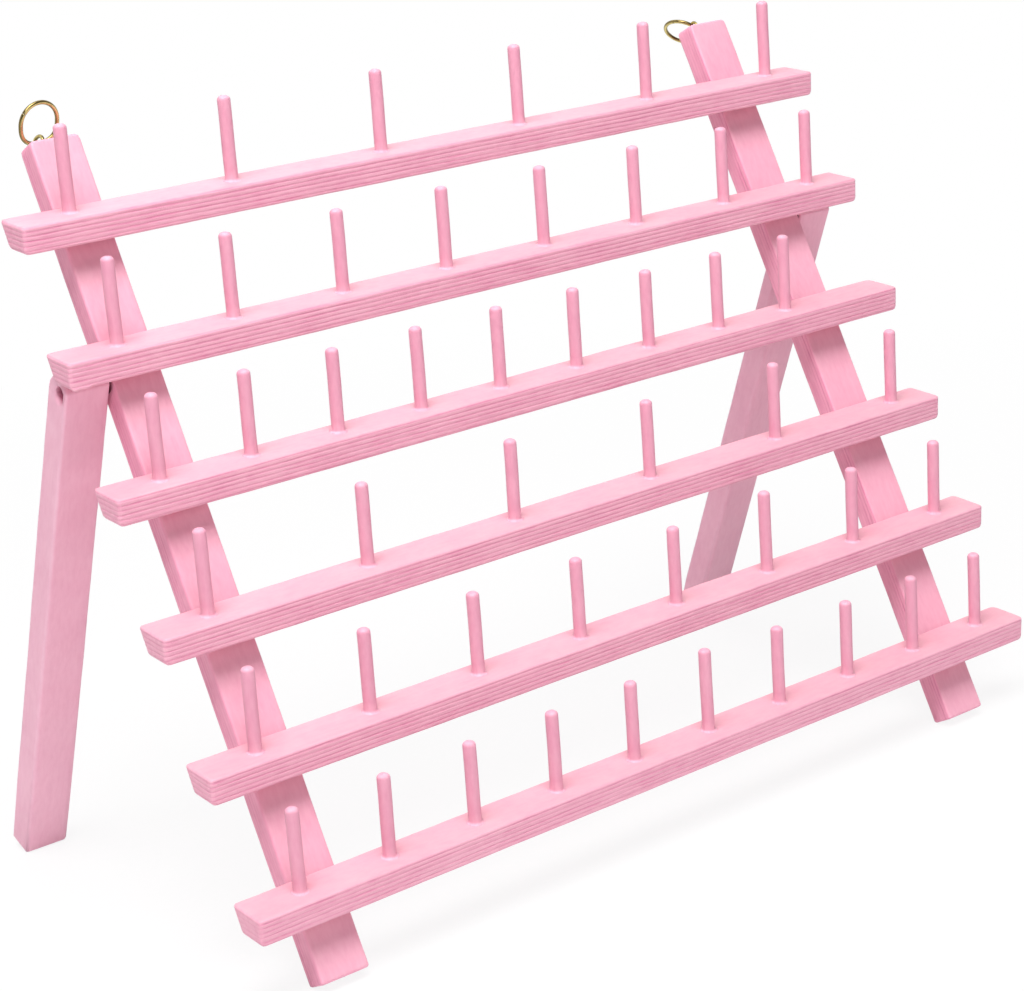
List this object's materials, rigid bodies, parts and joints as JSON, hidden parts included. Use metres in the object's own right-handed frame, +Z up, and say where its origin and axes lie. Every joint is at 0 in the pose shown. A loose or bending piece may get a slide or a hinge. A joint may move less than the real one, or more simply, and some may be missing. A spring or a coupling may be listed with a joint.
{
  "type": "thread rack",
  "caption": "Leaning frame of bars with upright pegs for thread spools, propped on folding rear legs, with rings to hang it on a wall.",
  "frame": {"origin": "on the ground, in the middle of the whole rack's outline seen from above", "axes": "+X along the bars to the viewer's right, +Y to the back where the legs stand, +Z up"},
  "size_m": [0.4552, 0.226, 0.3498],
  "materials": {
    "painted_wood": "smooth satin pink paint over plywood and dowel",
    "brass": "polished, brass-coloured plating",
    "steel": "zinc-plated"
  },
  "bodies": {
    "frame": {"bar_1": "painted_wood", "bar_2": "painted_wood", "bar_3": "painted_wood", "bar_4": "painted_wood", "bar_5": "painted_wood", "bar_6": "painted_wood", "left_pivot_screw": "steel", "left_screw_eye": "brass", "left_stile": "painted_wood", "left_washer": "steel", "peg_2_1": "painted_wood", "peg_2_2": "painted_wood", "peg_2_3": "painted_wood", "peg_2_4": "painted_wood", "peg_2_5": "painted_wood", "peg_2_6": "painted_wood", "peg_2_7": "painted_wood", "peg_2_8": "painted_wood", "peg_3_1": "painted_wood", "peg_3_2": "painted_wood", "peg_3_3": "painted_wood", "peg_3_4": "painted_wood", "peg_3_5": "painted_wood", "peg_3_6": "painted_wood", "peg_3_7": "painted_wood", "peg_3_8": "painted_wood", "peg_3_9": "painted_wood", "peg_4_1": "painted_wood", "peg_4_2": "painted_wood", "peg_4_3": "painted_wood", "peg_4_4": "painted_wood", "peg_4_5": "painted_wood", "peg_4_6": "painted_wood", "peg_5_1": "painted_wood", "peg_5_2": "painted_wood", "peg_5_3": "painted_wood", "peg_5_4": "painted_wood", "peg_5_5": "painted_wood", "peg_5_6": "painted_wood", "peg_5_7": "painted_wood", "peg_5_8": "painted_wood", "peg_6_1": "painted_wood", "peg_6_10": "painted_wood", "peg_6_2": "painted_wood", "peg_6_3": "painted_wood", "peg_6_4": "painted_wood", "peg_6_5": "painted_wood", "peg_6_6": "painted_wood", "peg_6_7": "painted_wood", "peg_6_8": "painted_wood", "peg_6_9": "painted_wood", "right_pivot_screw": "steel", "right_screw_eye": "brass", "right_stile": "painted_wood", "right_washer": "steel"},
    "left_leg": {"left_leg": "painted_wood"},
    "right_leg": {"right_leg": "painted_wood"},
    "left_ring": {"left_ring": "brass"},
    "right_ring": {"right_ring": "brass"}
  },
  "joints": [
    {"name": "left_leg_fold", "type": "hinge", "parent": "frame", "child": "left_leg", "pos_m": [-0.2128, 0.01095, 0.23754], "axis": [1, 0, 0], "range_deg": [-48, 0]},
    {"name": "right_leg_fold", "type": "hinge", "parent": "frame", "child": "right_leg", "pos_m": [0.2076, 0.01095, 0.23754], "axis": [1, 0, 0], "range_deg": [-48, 0]},
    {"name": "left_ring_swing", "type": "hinge", "parent": "frame", "child": "left_ring", "pos_m": [-0.1891, 0.06895, 0.33121], "axis": [1, 0, 0], "range_deg": [-212, 48]},
    {"name": "right_ring_swing", "type": "hinge", "parent": "frame", "child": "right_ring", "pos_m": [0.1874, 0.06895, 0.33121], "axis": [1, 0, 0], "range_deg": [-52, 112]}
  ]
}
